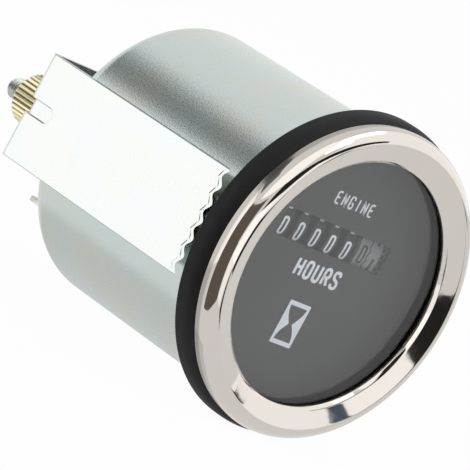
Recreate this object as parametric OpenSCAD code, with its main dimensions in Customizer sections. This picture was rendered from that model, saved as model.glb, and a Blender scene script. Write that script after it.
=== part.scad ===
// Round panel hour meter: a drawn case with a rolled bezel, held in the panel by a U bracket
// and two knurled nuts. A stepping motor drives a six-drum register behind the dial.
// +X is the dial's right, +Y points to the rear and +Z is up. The origin lies on the
// meter's axis in the plane of the panel face that the gasket seals on.

/* [Case] */
// Outside diameter of the drawn case
case_d = 52; // [51.5:0.5:60]
// Depth of the case behind the panel face
case_depth = 46.6; // [41.8:0.2:60]
// Sheet thickness of the case
case_wall = 0.6; // [0.4:0.1:0.8]
// Outside radius of the rounded rear edge
case_corner = 3.1; // [1.5:0.1:4]

/* [Gasket] */
// Thickness of the panel gasket along the axis
gasket_t = 4.45; // [3.5:0.05:4.6]
// How far the gasket stands out past the case
gasket_over = 3.15; // [2.6:0.05:4]
// Length of the straight outer band at the gasket's rear
gasket_band = 1.8; // [1:0.1:2.5]
// How much the gasket narrows towards the bezel
gasket_taper = 1.25; // [0.4:0.05:1.6]

/* [Bezel] */
// How far the bezel stands out past the case
bezel_over = 2.37; // [2:0.01:3]
// Sheet thickness of the bezel
bezel_sheet = 0.4; // [0.3:0.05:0.5]
// Height of the bezel's straight side wall
bezel_side = 1.2; // [1.1:0.05:2]
// Radius of the quarter-round from the side wall to the crest
bezel_round = 2.5; // [2.2:0.05:2.7]
// How far the lip reaches inwards from the case's outside
lip_reach = 3.68; // [3.3:0.02:4.5]
// Width of the lip at the foot of the inner slope
lip_w = 0.6; // [0.4:0.05:1]

/* [Lens and dial] */
// Thickness of the lens
lens_t = 2; // [1.5:0.1:2.2]
// Thickness of the seal between lens and lip
seal_t = 0.35; // [0.2:0.05:0.5]
// Height of the spacer ring between dial and lens
spacer_h = 3.3; // [2.8:0.1:3.5]
// Wall of the spacer ring
spacer_wall = 2; // [1:0.1:2.5]
// Distance of the dial's face in front of the panel face
dial_front = 0.455; // [0.3:0.005:0.8]
// Thickness of the dial sheet
dial_t = 0.6; // [0.4:0.1:0.8]
// Height of the register window
window_h = 5.2; // [4:0.1:6]
// Distance of the window's centre above the drum axis
window_rise = 0.4; // [0:0.1:0.8]

/* [Bracket and nuts] */
// Width of the U bracket
bracket_w = 19.5; // [14:0.5:22]
// Sheet thickness of the bracket
bracket_sheet = 1.2; // [0.8:0.1:1.6]
// Free space between the case's rear and the bracket's web
web_gap = 5.4; // [3:0.1:8]
// Outside radius of the bracket's two bends
bend_r = 1.8; // [1.7:0.1:2.5]
// Number of gaps between the teeth on the end of each leg
tooth_count = 6; // [4:1:8]
// Depth of the teeth
tooth_h = 1; // [0.5:0.1:1.5]
// Width of the stiffening bead pressed in over each bend
bead_w = 2.7; // [2:0.1:4]
// Length of the bead along the leg
bead_len = 7.7; // [5:0.1:10]
// Depth of the bead
bead_h = 0.5; // [0.3:0.1:0.6]
// Distance between the two studs
stud_pitch = 40.8; // [36:0.2:41]
// Thread diameter of the studs
stud_d = 4; // [3:0.5:5]
// Length of the stud behind the web when the bracket is right forward
stud_out = 11.9; // [11.5:0.1:18]
// Diameter of the knurled nuts
nut_d = 9.6; // [8.4:0.1:11.4]
// Height of the knurled nuts
nut_h = 6.4; // [5:0.1:6.8]
// Number of ridges on a nut
knurl_count = 30; // [24:1:50]
// Depth of the knurling
knurl_h = 0.32; // [0.2:0.02:0.5]

/* [Terminals] */
// Distance between the two blade terminals
blade_pitch = 18; // [16:0.5:20]
// Width of a blade
blade_w = 6.3; // [4.8:0.1:7]
// Thickness of a blade
blade_t = 0.8; // [0.5:0.1:1]
// Free length of a blade behind the case
blade_out = 11.4; // [8:0.1:14]
// Distance of the blades below the axis
blade_drop = 16; // [15:0.5:17]

/* [Register] */
// Radius of the number drums
drum_r = 7.6; // [7.5:0.05:7.8]
// Height of the drum axis above the meter's axis
drum_z = 5.5; // [5:0.1:6]
// Place of the units drum's middle to the right of the meter's axis
units_x = 3.75; // [3.5:0.05:4]
// Width of a black drum's rim
rim_w = 2.6; // [2.5:0.05:2.8]
// Width of the white tenths drum's rim
tenths_w = 5.6; // [4.5:0.1:5.6]
// Teeth on a drum's input ring
ring_teeth = 20; // [20:20:20]
// Teeth on a transfer pinion
transfer_teeth = 8; // [8:8:8]
// Tooth module of the register's gearing
register_module = 0.65; // [0.65:0.01:0.66]

/* [Gear train] */
// Tooth module of the drive train
train_module = 0.4; // [0.39:0.01:0.41]
// Teeth on the tenths drum's drive gear
drive_teeth = 36; // [36:36:36]
// Teeth on each pinion of the train
pinion_teeth = 12; // [12:12:12]
// Teeth on each wheel of the train
wheel_teeth = 48; // [48:48:48]
// Face width of a wheel
wheel_w = 1; // [0.8:0.1:1.1]

/* [Motor and board] */
// Radius of the rotor magnet
magnet_r = 2.9; // [2.5:0.1:3]
// Air gap round the rotor magnet
air_gap = 0.5; // [0.3:0.05:0.6]
// Thickness of the stator sheet
stator_t = 1; // [0.8:0.1:1.2]
// Outside radius of the coil
coil_r = 3.9; // [3.4:0.1:4]
// Distance of the circuit board's front behind the rotor's axis
board_gap = 3.86; // [3.8:0.02:4.2]
// Thickness of the circuit board
board_t = 1.6; // [1:0.2:1.6]

/* [Hidden] */
$fn = 96;

// Small overlap that makes cuts break through cleanly
eps = 0.05;
// Clearances: loose pieces in the case, running bores, and pieces of different bodies
loose = 0.3;
run = 0.03;
snug = 0.05;
air = 0.3;

// Case, bezel and the stack behind the lip
case_r = case_d / 2;
case_in = case_r - case_wall;
floor_y = case_depth - case_wall;
bezel_r = case_r + bezel_over;
gasket_r = case_r + gasket_over;
flange_front = gasket_t + bezel_sheet + case_wall;
flange_r = bezel_r - bezel_sheet - 0.1;
side_top = gasket_t + bezel_side;
crest_r = bezel_r - bezel_round;
crest_z = side_top + bezel_round;
view_r = case_r - lip_reach;
stack_r = case_in - loose;
lens_rear = dial_front + spacer_h;
lens_front = lens_rear + lens_t;
lip_rear = lens_front + seal_t;
lip_front = lip_rear + bezel_sheet;
crease_r = view_r + lip_w;
crease_z = lip_front + bezel_sheet;
dial_rear = dial_t - dial_front;

// Bracket: legs beside the case, web behind it, teeth a thin panel away from the gasket
leg_in = case_r + air;
leg_out = leg_in + bracket_sheet;
web_front = case_depth + web_gap;
web_rear = web_front + bracket_sheet;
leg_front = 1.7;
tooth_pitch = bracket_w / tooth_count;
tooth_steps = 10;
bead_into_web = 2.5;
bead_wall = 0.4;
bead_sink = max(0, bead_h - air + 0.2);
bead_clear = case_depth - case_corner + sqrt(case_corner ^ 2 - (case_corner - bead_sink) ^ 2);
bead_end = max(web_rear - bead_len, bead_clear + bead_wall) + bead_w / 2;
stud_r = stud_d / 2;
stud_hole = stud_r + 0.2;
stud_tip = web_rear + stud_out;
stud_head_r = min(3.8, case_r - case_corner - stud_pitch / 2 - 0.1);
stud_head_t = 1.5;
tip_chamfer = 0.7;
nut_chamfer = 0.55;

// Register drums, counted from the units drum to the left
ring_w = 0.7;
carry_w = 0.6;
hub_gap = 0.15;
hub_r = 2;
drum_rim = 0.7;
drum_pitch = rim_w + ring_w + carry_w + hub_gap;
drum_axis = [dial_rear + air + drum_r, drum_z];
shaft_r = 1;
pinion_shaft_r = 0.75;
transfer_slack = 0.16;
transfer_cd = register_module * (ring_teeth + transfer_teeth) / 2;
transfer_axis = drum_axis + [transfer_cd, 0];
ring_tip = 0.77 * register_module;
transfer_w = ring_w + carry_w - 0.05;
carry_r = transfer_cd - register_module * (transfer_teeth / 2 + 1) - 0.15;
tenths_left = units_x + rim_w / 2 + ring_w + hub_gap + carry_w;
tenths_right = tenths_left + tenths_w;
drive_boss = 0.3;
drive_w = 1.4;
drums_left = units_x - 4 * drum_pitch - rim_w / 2;
drums_right = tenths_right + drive_boss + drive_w;
window_margin = 0.7;
window_x0 = drums_left - window_margin;
window_w = tenths_right + window_margin - window_x0;

// Movement frame: a front plate, two cheeks and three pillars to the case's floor
plate_t = 1.2;
plate_rear = dial_rear + plate_t;
cheek_t = 1.2;
cheek_half = 6.5;
bearing_rim = 2.6;
cheek_right = drums_right + air;
cheek_left = drums_left - carry_w - air;
cheek_out = cheek_right + cheek_t;
opening_h = 10.4;
pillar_r = 2.2;
spigot_r = 1.5;
flat_r = case_in - (case_corner - case_wall) - 0.1;
upper_pillar_r = flat_r - pillar_r;
upper_a = 60;
lower_pillar = -flat_r + spigot_r;

// Gear train axes, as distance to the rear and height. The rotor lies as far back as the case's
// floor and the train's reach allow, and the first wheel hangs below the line to it
train_slack = 0.1;
drive_cd = train_module * (drive_teeth + pinion_teeth) / 2;
wheel_cd = train_module * (wheel_teeth + pinion_teeth) / 2;
drive_a = -31.4;
second_axis = drum_axis + drive_cd * [cos(drive_a), sin(drive_a)];
motor_room = 9.86;
motor_rise = 7.44;
train_reach = 1.7 * wheel_cd;
rotor_axis = [min(floor_y - motor_room, second_axis[0] + train_reach), second_axis[1] + motor_rise];
span = rotor_axis - second_axis;
lean = atan2(span[1], span[0]);
fold = acos(norm(span) / 2 / wheel_cd);
middle_a = lean - fold;
motor_a = lean + fold;
first_axis = second_axis + wheel_cd * [cos(middle_a), sin(middle_a)];
wheel_gap = 0.4;
second_x = cheek_out + 0.5;
first_x = second_x + wheel_w + wheel_gap;
bridge_x = first_x + wheel_w + 0.5;
bridge_t = 1.2;
bridge_out = bridge_x + bridge_t;
arbor_r = 0.8;
pivot_r = 0.45;
rotor_r = 0.6;
shoulder_gap = 0.2;
wheel_space = train_module * (wheel_teeth / 2 + 1);
pinion_space = train_module * (pinion_teeth / 2 + 1);
post_r = 1.6;
post_gap = 0.9;
posts = [beside(second_axis, wheel_space, -100), beside(second_axis, wheel_space, 60),
    beside(rotor_axis, pinion_space, 30)];
screw_r = 0.8;
screw_head_r = 1.5;
screw_head_t = 1;
screw_depth = 3;

// Motor: one stator sheet with the rotor hole above and the coil leg below
coil_gap = 0.8;
stator_mid = cheek_right - coil_r - coil_gap;
magnet_w = 2.4;
stator_front = 10.1;
stator_back = 6.9;
stator_rise = 5;
coil_drop = 14;
stator_y0 = rotor_axis[0] - stator_front;
stator_y1 = rotor_axis[0] + stator_back;
stator_top = rotor_axis[1] + stator_rise;
leg_z = rotor_axis[1] - coil_drop;
leg_h = 3.8;
leg_inset = 3.4;
leg_y0 = stator_y0 + leg_inset;
leg_play = 0.2;
board_y = rotor_axis[0] + board_gap;
bobbin_gap = 0.7;
bobbin_y1 = board_y - bobbin_gap;
bobbin_y0 = leg_y0 + leg_play;
bobbin_flange = 0.8;
bobbin_wall = 0.6;
fit = 0.1;
post_inset = 2;
stator_posts = [[stator_y0 + post_inset, stator_top - post_inset],
    [stator_y1 - post_inset, stator_top - post_inset]];
stator_post_r = 1.3;
peg_r = 0.8;
coil_pin_r = 0.3;
coil_pin_x = 1.6;
coil_pin_drop = 3.5;
coil_pin_z = leg_z - coil_pin_drop;

// Circuit board: its top edge clears the stator, and the lower pillar carries it
board_top = leg_z - leg_h / 2 - air;
board_w = 25;
board_edge = 1.8;
board_low = lower_pillar - board_edge;
board_foot = 4.5;
crystal_at = [-5.6, -18.6];
crystal_r = 1;
crystal_len = 6;
crystal_lead_r = 0.15;
crystal_lead_z = 0.4;
crystal_lead_out = 0.8;
chip_at = [0.5, -12.6];
cap_at = [-8.5, -11.9];
cap_r = 3.15;
cap_h = 7.7;
tail_w = 2.4;
tail_stub = 0.6;
tail_end = board_y + board_t + tail_stub;
neck_wall = 0.9;
flange_rim = 1;
neck_size = [blade_w + 2 * neck_wall, blade_t + 2 * neck_wall];
flange_size = neck_size + [2 * flange_rim, 2 * flange_rim];
inside_flange = 1.6;
outside_flange = 1.2;

// Turns a shape drawn along its own Z so that it lies along the meter's axis
module on_axis(x = 0, y = 0, z = 0) {
    translate([x, y, z])
        rotate([-90, 0, 0])
            children();
}

// Turns a shape drawn along its own Z so that it lies along X at a shaft's place
module on_shaft(axis, x) {
    translate([x, axis[0], axis[1]])
        rotate([0, 90, 0])
            children();
}

// Revolves a profile of [radius, distance in front of the panel] round the meter's axis
module turned() {
    rotate([90, 0, 0])
        rotate_extrude()
            children();
}

// Sheet outline of [rear, up] made into a plate across X
module side_plate(x, t) {
    translate([x, 0, 0])
        rotate([90, 0, 90])
            linear_extrude(t)
                children();
}

// Disc or rod along X with a bore
module ring_x(axis, x, w, r, bore) {
    on_shaft(axis, x)
        difference() {
            cylinder(h = w, r = r);
            translate([0, 0, -eps]) cylinder(h = w + 2 * eps, r = bore);
        }
}

// Place of a post at an angle beside a gear that needs the given space
function beside(axis, space, a) = axis + (space + post_r + post_gap) * [cos(a), sin(a)];

// Polar angle, in degrees, that an involute has turned through at a given radius
function roll(r, base) = r <= base ? 0 : sqrt(pow(r / base, 2) - 1);
function involute(r, base) = roll(r, base) * 180 / PI - atan(roll(r, base));
pressure = 25;

// Half the angle that a tooth covers at radius r, thinned by slack at the pitch circle
function tooth_half(r, n, m, slack) =
    let (base = m * n / 2 * cos(pressure))
    90 / n - slack / (m * n) * 180 / PI + involute(m * n / 2, base) - involute(r, base);

// Outline of a spur gear with one tooth centred on the given angle
module gear_outline(n, m, slack, centre, tip, pick = 1) {
    root = m * n / 2 - 1.2 * m;
    outer = m * n / 2 + tip;
    radii = [root, (root + m * n / 2) / 2, m * n / 2, (m * n / 2 + outer) / 2, outer];
    union() {
        circle(r = root + eps);
        for (i = [0 : pick : n - 1]) {
            a = centre + i * 360 / n;
            up = [for (r = radii)
                let (h = a - tooth_half(r, n, m, slack)) r * [cos(h), sin(h)]];
            down = [for (k = [len(radii) - 1 : -1 : 0])
                let (h = a + tooth_half(radii[k], n, m, slack)) radii[k] * [cos(h), sin(h)]];
            polygon(concat([[0, 0]], up, down));
        }
    }
}

// Gear along X; the centre line to its partner is given in the rear and up plane
module gear_x(axis, x, w, n, m, slack, line, tooth_on_line, tip) {
    centre = line + 90 + (tooth_on_line ? 0 : 180 / n);
    on_shaft(axis, x)
        linear_extrude(w)
            gear_outline(n, m, slack, centre, tip);
}

// Drawn steel case with an out-turned front flange and openings for studs and terminals
module case() {
    color("#c8d2cf")
        difference() {
            turned()
                difference() {
                    union() {
                        case_outline(case_r, case_depth, case_corner);
                        translate([0, flange_front - case_wall]) square([flange_r, case_wall]);
                    }
                    case_outline(case_in, floor_y, case_corner - case_wall);
                    translate([-eps, flange_front - 1]) square([case_in + eps, 2]);
                }
            for (side = [-1, 1]) {
                on_axis(side * stud_pitch / 2, floor_y - 1, 0) cylinder(h = 2 + case_wall, r = stud_r + snug);
                translate([side * blade_pitch / 2, floor_y + case_wall / 2, -blade_drop])
                    cube([neck_size[0] + 2 * snug, 2 * case_wall, neck_size[1] + 2 * snug], center = true);
            }
        }
}

// Half section of the case: a straight wall from the flange to a rounded rear edge
module case_outline(r, depth, corner) {
    translate([0, -depth]) square([r - corner, depth]);
    translate([0, corner - depth]) square([r, depth - corner + flange_front]);
    translate([r - corner, corner - depth]) circle(r = corner);
}

// Bright bezel: side wall, quarter-round, inner slope and lip, with a hem behind the flange
module bezel() {
    color("#d9d4cf")
        turned() {
            translate([case_r + 2 * snug, gasket_t]) square([bezel_r - case_r - 2 * snug, bezel_sheet]);
            translate([bezel_r - bezel_sheet, gasket_t]) square([bezel_sheet, bezel_side]);
            intersection() {
                translate([crest_r, side_top])
                    difference() {
                        circle(r = bezel_round);
                        circle(r = bezel_round - bezel_sheet);
                    }
                translate([crest_r, side_top]) square(bezel_round + 1);
            }
            polygon([[crest_r, crest_z], [crease_r, crease_z], [view_r, lip_front], [view_r, lip_rear],
                [crease_r, crease_z - bezel_sheet], [crest_r, crest_z - bezel_sheet]]);
        }
}

// Flat clear lens
module lens() {
    color("#e6ecec", 0.3)
        turned()
            translate([0, lens_rear])
                square([stack_r, lens_t]);
}

// Thin rubber ring between the lens and the bezel's lip
module lens_seal() {
    color("#202020")
        turned()
            translate([view_r + 0.1, lens_front])
                square([1.4, seal_t]);
}

// Black ring that keeps the lens off the dial
module spacer_ring() {
    color("#1c1d1d")
        turned()
            translate([stack_r - spacer_wall, dial_front])
                square([spacer_wall, spacer_h]);
}

// Dial sheet with the register window
module dial() {
    color("#4a4c4b")
        difference() {
            on_axis(0, -dial_front, 0) cylinder(h = dial_t, r = stack_r);
            translate([window_x0, -dial_front - eps, drum_z + window_rise - window_h / 2])
                cube([window_w, dial_t + 2 * eps, window_h]);
        }
}

// Moulded rubber gasket: straight outer band, then a rounded run-in to the bezel
module panel_gasket() {
    arc = [for (t = [0 : 10 : 90])
        [gasket_r - gasket_taper * (1 - cos(t)), gasket_band + (gasket_t - gasket_band) * sin(t)]];
    color("#242526")
        turned()
            polygon(concat([[case_r + snug, gasket_t], [case_r + snug, 0], [gasket_r, 0]], arc));
}

// Two threaded studs, welded through the case's floor from inside
module mounting_studs() {
    color("#b9bcb4")
        for (side = [-1, 1])
            on_axis(side * stud_pitch / 2, 0, 0) {
                translate([0, 0, floor_y - stud_head_t]) cylinder(h = stud_head_t, r = stud_head_r);
                translate([0, 0, floor_y - eps])
                    cylinder(h = stud_tip - tip_chamfer - floor_y + eps, r = stud_r);
                translate([0, 0, stud_tip - tip_chamfer])
                    cylinder(h = tip_chamfer, r1 = stud_r, r2 = stud_r - tip_chamfer);
            }
}

// Tinned blade with a narrow tail for the circuit board and a bevelled tip
module blade_terminal(side) {
    blade_start = floor_y - inside_flange;
    blade_end = case_depth + blade_out;
    bevel = 1;
    color("#c9c3b4")
        translate([side * blade_pitch / 2, 0, -blade_drop - blade_t / 2])
            linear_extrude(blade_t) {
                polygon([[-blade_w / 2, blade_start], [blade_w / 2, blade_start],
                    [blade_w / 2, blade_end - bevel], [blade_w / 2 - bevel, blade_end],
                    [bevel - blade_w / 2, blade_end], [-blade_w / 2, blade_end - bevel]]);
                translate([-tail_w / 2, board_y - tail_stub])
                    square([tail_w, blade_start - board_y + tail_stub + eps]);
            }
}

// Insulator that grips the case's floor between two flanges and holds a blade
module insulator(side) {
    color("#33373a")
        translate([side * blade_pitch / 2, 0, -blade_drop])
            difference() {
                union() {
                    slab(floor_y - inside_flange, inside_flange, flange_size);
                    slab(floor_y - eps, case_wall + 2 * eps, neck_size);
                    slab(case_depth, outside_flange, flange_size);
                }
                slab(floor_y - 5, 10, [blade_w + 2 * snug, blade_t + 2 * snug]);
            }
}

// Rectangular slab centred on the axis, from y over the given thickness
module slab(y, t, size) {
    translate([-size[0] / 2, y, -size[1] / 2])
        cube([size[0], t, size[1]]);
}

// Moulded frame: front plate, two cheeks, posts for the bridge and stator, and three pillars
module movement_frame() {
    color("#e4e2d8")
        difference() {
            union() {
                on_axis(0, dial_rear, 0) cylinder(h = plate_t, r = stack_r);
                side_plate(cheek_left - cheek_t, cheek_t) left_cheek_outline();
                side_plate(cheek_right, cheek_t) right_cheek_outline();
                for (p = posts)
                    on_shaft(p, cheek_out - eps) cylinder(h = bridge_x - cheek_out + eps, r = post_r);
                for (p = stator_posts) {
                    on_shaft(p, stator_mid + stator_t / 2)
                        cylinder(h = cheek_right - stator_mid - stator_t / 2 + eps, r = stator_post_r);
                    on_shaft(p, stator_mid - stator_t / 2 - 0.6)
                        cylinder(h = stator_t + 0.6 + eps, r = peg_r);
                }
                for (a = [upper_a, 180 - upper_a])
                    on_axis(upper_pillar_r * cos(a), plate_rear - eps, upper_pillar_r * sin(a))
                        cylinder(h = floor_y - plate_rear + eps, r = pillar_r);
                on_axis(0, plate_rear - eps, lower_pillar)
                    cylinder(h = board_y - plate_rear + eps, r = pillar_r);
                on_axis(0, board_y - eps, lower_pillar) cylinder(h = floor_y - board_y + eps, r = spigot_r);
            }
            translate([cheek_left, dial_rear - 1, drum_z - opening_h / 2])
                cube([cheek_right - cheek_left, plate_t + 2, opening_h]);
            on_shaft(drum_axis, cheek_left - 2) cylinder(h = cheek_out - cheek_left + 4, r = shaft_r);
            on_shaft(transfer_axis, cheek_left - 2)
                cylinder(h = cheek_out - cheek_left + 4, r = pinion_shaft_r);
            on_shaft(second_axis, cheek_right - 1) cylinder(h = cheek_t + 2, r = arbor_r + run);
            on_shaft(first_axis, cheek_right - 1) cylinder(h = cheek_t + 2, r = pivot_r + run);
            on_shaft(rotor_axis, cheek_right - 1) cylinder(h = cheek_t + 2, r = rotor_r + run);
            for (p = posts) on_shaft(p, bridge_x - screw_depth) cylinder(h = screw_depth + 1, r = screw_r);
        }
}

// Left cheek: carries the two register shafts
module left_cheek_outline() {
    reach = transfer_axis[0] + bearing_rim;
    shoulder = reach - 1.5 * bearing_rim;
    polygon([[plate_rear - eps, drum_z - cheek_half], [shoulder, drum_z - 0.7 * cheek_half],
        [reach, drum_z - 0.3 * cheek_half], [reach, drum_z + 0.3 * cheek_half],
        [shoulder, drum_z + 0.7 * cheek_half], [plate_rear - eps, drum_z + cheek_half]]);
}

// Right cheek: carries the register shafts, the train's arbors and the motor
module right_cheek_outline() {
    low = posts[0][1] - bearing_rim;
    high = posts[2][1] + bearing_rim;
    reach = stator_y1 + leg_play;
    polygon([[plate_rear - eps, drum_z - cheek_half], [posts[0][0] - bearing_rim, low],
        [posts[0][0] + bearing_rim, low], first_axis + bearing_rim * [0.7, -1],
        [reach, posts[2][1] - 2 * bearing_rim], [reach, high],
        [posts[1][0] - bearing_rim, posts[1][1] + bearing_rim], [plate_rear - eps, drum_z + cheek_half]]);
}

// Steel shaft that the number drums turn on
module register_shaft() {
    color("#b4b8ba")
        on_shaft(drum_axis, cheek_left - cheek_t) cylinder(h = cheek_out - cheek_left + cheek_t, r = shaft_r);
}

// Steel shaft that the transfer pinions turn on
module pinion_shaft() {
    color("#b4b8ba")
        on_shaft(transfer_axis, cheek_left - cheek_t)
            cylinder(h = cheek_out - cheek_left + cheek_t, r = pinion_shaft_r);
}

// Outer bearing plate of the gear train
module train_bridge() {
    color("#b9a25a")
        difference() {
            side_plate(bridge_x, bridge_t)
                polygon([second_axis + bearing_rim * [-1, 0.7], second_axis + bearing_rim * [-1, -0.7],
                    posts[0] + bearing_rim * [-1, -0.6], posts[0] + bearing_rim * [0.6, -1],
                    first_axis + bearing_rim * [0.7, -1], posts[2] + bearing_rim * [0.8, -0.8],
                    posts[2] + bearing_rim * [1, 0.4],
                    posts[2] + bearing_rim * [0.4, 1], posts[1] + bearing_rim * [0.6, 1],
                    posts[1] + bearing_rim * [-1, 0.6]]);
            for (p = [second_axis, first_axis, rotor_axis])
                on_shaft(p, bridge_x - 1) cylinder(h = bridge_t + 2, r = pivot_r + run);
            for (p = posts) on_shaft(p, bridge_x - 1) cylinder(h = bridge_t + 2, r = screw_r + snug);
        }
}

// Three cheese-head screws that hold the bridge on its posts
module bridge_screws() {
    slot_w = 0.4;
    slot_h = 0.45;
    color("#c4c6c4")
        for (p = posts)
            on_shaft(p, bridge_out)
                difference() {
                    union() {
                        cylinder(h = screw_head_t, r = screw_head_r);
                        translate([0, 0, -bridge_t - screw_depth + 0.2])
                            cylinder(h = bridge_t + screw_depth - 0.2 + eps, r = screw_r);
                    }
                    translate([-2, -slot_w / 2, screw_head_t - slot_h]) cube([4, slot_w, 1]);
                }
}

// Soft-iron stator sheet: rotor hole with two detent notches, and a window for the coil
module stator() {
    detent_r = 0.5;
    detent_a = 40;
    window_top = rotor_axis[1] - magnet_r - air_gap - 2.6;
    color("#8f9396")
        difference() {
            side_plate(stator_mid - stator_t / 2, stator_t)
                difference() {
                    translate([stator_y0, leg_z - leg_h / 2])
                        square([stator_y1 - stator_y0, stator_top - leg_z + leg_h / 2]);
                    translate([leg_y0, leg_z + leg_h / 2])
                        square([bobbin_y1 + leg_play - leg_y0, window_top - leg_z - leg_h / 2]);
                }
            on_shaft(rotor_axis, stator_mid - 2) cylinder(h = 4, r = magnet_r + air_gap);
            for (turn = [0, 180])
                on_shaft(rotor_axis, stator_mid - 2)
                    rotate(detent_a + turn)
                        translate([magnet_r + air_gap, 0, 0]) cylinder(h = 4, r = detent_r);
            for (p = stator_posts) on_shaft(p, stator_mid - 2) cylinder(h = 4, r = peg_r + snug);
        }
}

// Moulded coil former on the stator's lower leg
module coil_bobbin() {
    inner = [stator_t + 2 * fit, leg_h + 2 * fit];
    outer = inner + [2 * bobbin_wall, 2 * bobbin_wall];
    flange_r = coil_r + 0.4;
    color("#2f5d50")
        translate([stator_mid, 0, leg_z])
            difference() {
                union() {
                    slab(bobbin_y0, bobbin_y1 - bobbin_y0, outer);
                    on_axis(0, bobbin_y0, 0) cylinder(h = bobbin_flange, r = flange_r);
                    on_axis(0, bobbin_y1 - bobbin_flange, 0) cylinder(h = bobbin_flange, r = flange_r);
                }
                slab(bobbin_y0 - 1, bobbin_y1 - bobbin_y0 + 2, inner);
                for (side = [-1, 1])
                    on_axis(side * coil_pin_x, bobbin_y1 - 2, coil_pin_z - leg_z)
                        cylinder(h = 4, r = coil_pin_r);
            }
}

// Enamelled copper winding between the former's flanges
module coil_winding() {
    hole = [stator_t + 2 * (fit + bobbin_wall + snug), leg_h + 2 * (fit + bobbin_wall + snug)];
    start = bobbin_y0 + bobbin_flange + snug;
    length = bobbin_y1 - bobbin_y0 - 2 * (bobbin_flange + snug);
    color("#b5653a")
        translate([stator_mid, 0, leg_z])
            difference() {
                on_axis(0, start, 0) cylinder(h = length, r = coil_r);
                slab(start - 1, length + 2, hole);
            }
}

// Two tinned pins that join the coil's ends to the circuit board
module coil_pins() {
    color("#cfcabd")
        for (side = [-1, 1])
            on_axis(stator_mid + side * coil_pin_x, bobbin_y1 - bobbin_flange + snug, coil_pin_z)
                cylinder(h = tail_end - bobbin_y1 + bobbin_flange - snug, r = coil_pin_r);
}

// Circuit board on the lower pillar, pierced for the tails, pins, leads and the pillar's spigot
module circuit_board() {
    shoulder = -blade_drop - 1;
    color("#2e6b3c")
        difference() {
            translate([0, board_y + board_t, 0])
                rotate([90, 0, 0])
                    linear_extrude(board_t)
                        polygon([[-board_w / 2, board_top], [board_w / 2, board_top], [board_w / 2, shoulder],
                            [board_foot, board_low], [-board_foot, board_low], [-board_w / 2, shoulder]]);
            on_axis(0, board_y - 1, lower_pillar) cylinder(h = board_t + 2, r = spigot_r + snug);
            for (side = [-1, 1]) {
                on_axis(stator_mid + side * coil_pin_x, board_y - 1, coil_pin_z)
                    cylinder(h = board_t + 2, r = coil_pin_r + snug);
                on_axis(crystal_at[0] - crystal_len / 2 - crystal_lead_out, board_y - 1,
                    crystal_at[1] + side * crystal_lead_z)
                    cylinder(h = board_t + 2, r = crystal_lead_r + snug);
                translate([side * blade_pitch / 2, 0, -blade_drop])
                    slab(board_y - 1, board_t + 2, [tail_w + 2 * snug, blade_t + 2 * snug]);
            }
        }
}

// Tuning-fork quartz crystal in a small can lying on the board, with two bent leads
module quartz_crystal() {
    seat = 0.1;
    axis_y = board_y - crystal_r - seat;
    left = crystal_at[0] - crystal_len / 2;
    color("#c6c9c9") {
        on_shaft([axis_y, crystal_at[1]], left) cylinder(h = crystal_len, r = crystal_r);
        for (side = [-1, 1]) {
            z = crystal_at[1] + side * crystal_lead_z;
            on_shaft([axis_y, z], left - crystal_lead_out)
                cylinder(h = crystal_lead_out + eps, r = crystal_lead_r);
            on_axis(left - crystal_lead_out, axis_y, z)
                cylinder(h = board_y + board_t + 0.5 - axis_y, r = crystal_lead_r);
            translate([left - crystal_lead_out, axis_y, z]) sphere(r = crystal_lead_r);
        }
    }
}

// Eight-lead timer chip soldered to the face of the board
module timer_chip() {
    body = [5, 3.9];
    body_h = 1.4;
    standoff = 0.15;
    lead_pitch = 1.27;
    lead = [0.42, 0.9, 0.2];
    color("#1e1f20")
        translate([chip_at[0], board_y, chip_at[1]]) {
            slab(-standoff - body_h, body_h, body);
            for (side = [-1, 1])
                for (i = [-1.5 : 1 : 1.5])
                    translate([i * lead_pitch, 0, side * (body[1] / 2 + lead[1] / 2)]) {
                        slab(-lead[2], lead[2], [lead[0], lead[1]]);
                        translate([0, 0, -side * lead[1] / 2])
                            slab(-body_h / 2 - standoff, body_h / 2 + standoff, [lead[0], 2 * lead[2]]);
                    }
        }
}

// Upright electrolytic capacitor with a rolled groove above its base
module capacitor() {
    groove_r = 0.35;
    color("#26374a")
        difference() {
            on_axis(cap_at[0], board_y - cap_h, cap_at[1]) cylinder(h = cap_h, r = cap_r);
            on_axis(cap_at[0], board_y - 1.4, cap_at[1])
                rotate_extrude()
                    translate([cap_r, 0]) circle(r = groove_r);
        }
}

// U bracket bent from one strip, with toothed leg ends, a bead pressed in over each bend
// and two stud holes
module bracket() {
    color("#dfe3e2")
        difference() {
            union() {
                bent_strip(bracket_w, 0);
                intersection() {
                    bent_strip(bracket_w, bead_h);
                    for (side = [-1, 1]) bead_field(side, bead_w + 2 * bead_wall);
                }
            }
            difference() {
                for (side = [-1, 1]) bead_field(side, bead_w);
                translate([0, 0, -bracket_w / 2])
                    linear_extrude(bracket_w)
                        bracket_section(leg_out - bead_h, web_rear - bead_h, bend_r);
            }
            translate([-leg_out - 1, 0, 0])
                rotate([90, 0, 90])
                    linear_extrude(2 * leg_out + 2) tooth_gaps();
            for (side = [-1, 1])
                on_axis(side * stud_pitch / 2, web_front - 1, 0)
                    cylinder(h = bracket_sheet + 2, r = stud_hole);
        }
}

// The bent sheet over a width, set in from the bracket's outside by a depth
module bent_strip(w, depth) {
    translate([0, 0, -w / 2])
        linear_extrude(w)
            difference() {
                bracket_section(leg_out - depth, web_rear - depth, bend_r);
                bracket_section(leg_in - depth, web_front - depth, bend_r - bracket_sheet);
            }
}

// Outline of the bracket seen from above, from the leg ends to the web
module bracket_section(half, rear, corner) {
    translate([-half, leg_front]) square([2 * half, rear - corner - leg_front]);
    translate([corner - half, leg_front]) square([2 * (half - corner), rear - leg_front]);
    for (side = [-1, 1]) translate([side * (half - corner), rear - corner]) circle(r = corner);
}

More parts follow.
